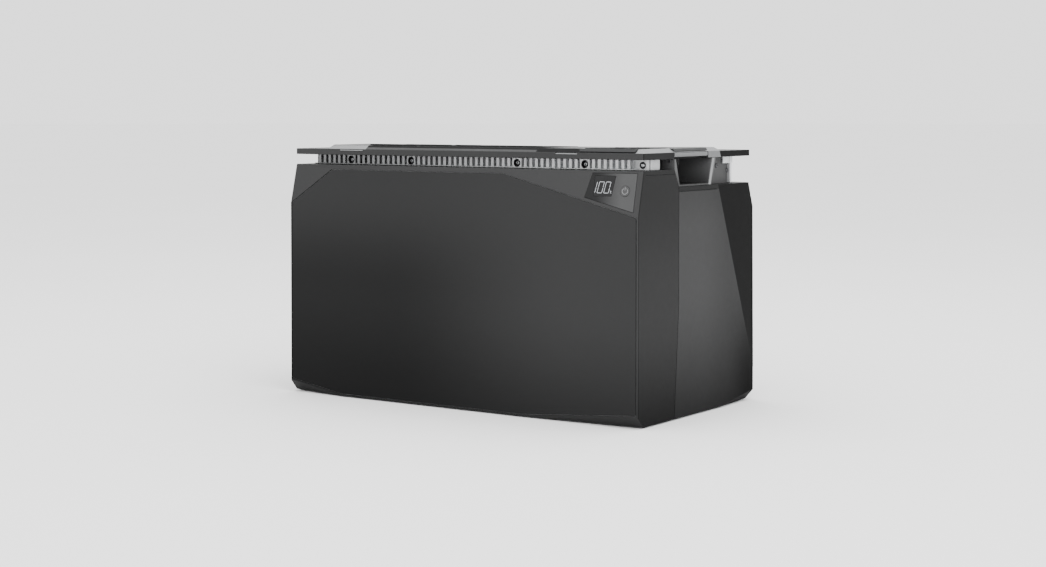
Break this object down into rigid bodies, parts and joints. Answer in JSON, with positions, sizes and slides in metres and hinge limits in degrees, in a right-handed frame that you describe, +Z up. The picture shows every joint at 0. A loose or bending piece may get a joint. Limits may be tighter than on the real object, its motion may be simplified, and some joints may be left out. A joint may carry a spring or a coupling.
{
  "type": "server rack battery",
  "caption": "Wide, low faceted battery pack with a finned neck, overhanging top plate, end handle pockets, hinged deck covers and a corner display.",
  "frame": {"origin": "centre of the footprint, at the height of the feet's contact faces", "axes": "+Z up, -Y out of the front panel, +X to the viewer's right when facing the front"},
  "size_m": [0.4826, 0.26, 0.2962],
  "materials": {
    "case": "fine matt powder coat",
    "panel": "satin powder coat",
    "dark_plastic": "fine spark texture",
    "display_frame": "smooth satin",
    "trim": "bead-blasted, satin",
    "cast_aluminium": "as cast, blasted",
    "grip": "soft touch",
    "rubber": "matt",
    "steel": "zinc plated",
    "brass": "machined",
    "circuit_board": "solder mask",
    "connector": "moulded",
    "cell": "heat-shrink film",
    "lens": "polished tinted window"
  },
  "bodies": {
    "pack": {"base_plate": "steel", "front_cover": "case", "front_panel": "panel", "back_cover": "case", "right_side_panel": "case", "left_side_panel": "case", "relief_valve": "dark_plastic", "foot_front_left": "rubber", "foot_front_right": "rubber", "foot_back_left": "rubber", "foot_back_right": "rubber", "upper_housing": "case", "front_heat_sink": "cast_aluminium", "back_heat_sink": "cast_aluminium", "right_handle_frame": "case", "left_handle_frame": "case", "top_plate": "panel", "top_deck": "dark_plastic", "deck_trim": "trim", "right_grip": "grip", "left_grip": "grip", "switch_cover_pin": "steel", "port_cover_pin": "steel", "terminal_cover_pin": "steel", "display_bezel": "display_frame", "display_lens": "lens", "display_board": "circuit_board", "breaker_body": "dark_plastic", "comm_ports": "steel", "signal_terminals": "connector", "terminal_block": "dark_plastic", "positive_terminal": "brass", "negative_terminal": "brass", "cell_01": "cell", "cell_02": "cell", "cell_03": "cell", "cell_04": "cell", "cell_05": "cell", "cell_06": "cell", "cell_07": "cell", "cell_08": "cell", "cell_09": "cell", "cell_10": "cell", "cell_11": "cell", "cell_12": "cell", "cell_13": "cell", "cell_14": "cell", "cell_15": "cell", "cell_16": "cell", "lower_busbar_carrier": "brass", "upper_busbar_carrier": "brass", "right_end_plate": "steel", "left_end_plate": "steel", "bms_board": "circuit_board", "main_fuse": "dark_plastic"},
    "power_button": {"power_button": "display_frame"},
    "switch_cover": {"switch_cover": "dark_plastic"},
    "port_cover": {"port_cover": "dark_plastic"},
    "terminal_cover": {"terminal_cover": "dark_plastic"},
    "breaker_toggle": {"breaker_toggle": "dark_plastic"}
  },
  "joints": [
    {"name": "power_button_press", "type": "slide", "parent": "pack", "child": "power_button", "axis": [-0.0575, 0.9732, -0.2226], "range_m": [0, 0.0008], "stiffness_N_per_m": 800},
    {"name": "switch_cover_hinge", "type": "hinge", "parent": "pack", "child": "switch_cover", "pos_m": [-0.106, -0.036, 0.2925], "axis": [-1, 0, 0], "range_deg": [0, 105]},
    {"name": "port_cover_hinge", "type": "hinge", "parent": "pack", "child": "port_cover", "pos_m": [0.02, -0.036, 0.2925], "axis": [-1, 0, 0], "range_deg": [0, 105]},
    {"name": "terminal_cover_hinge", "type": "hinge", "parent": "pack", "child": "terminal_cover", "pos_m": [0.1955, -0.049, 0.2925], "axis": [-1, 0, 0], "range_deg": [0, 105]},
    {"name": "breaker_toggle_swing", "type": "hinge", "parent": "pack", "child": "breaker_toggle", "pos_m": [-0.106, -0.066, 0.2794], "axis": [-1, 0, 0], "range_deg": [0, 60]}
  ]
}
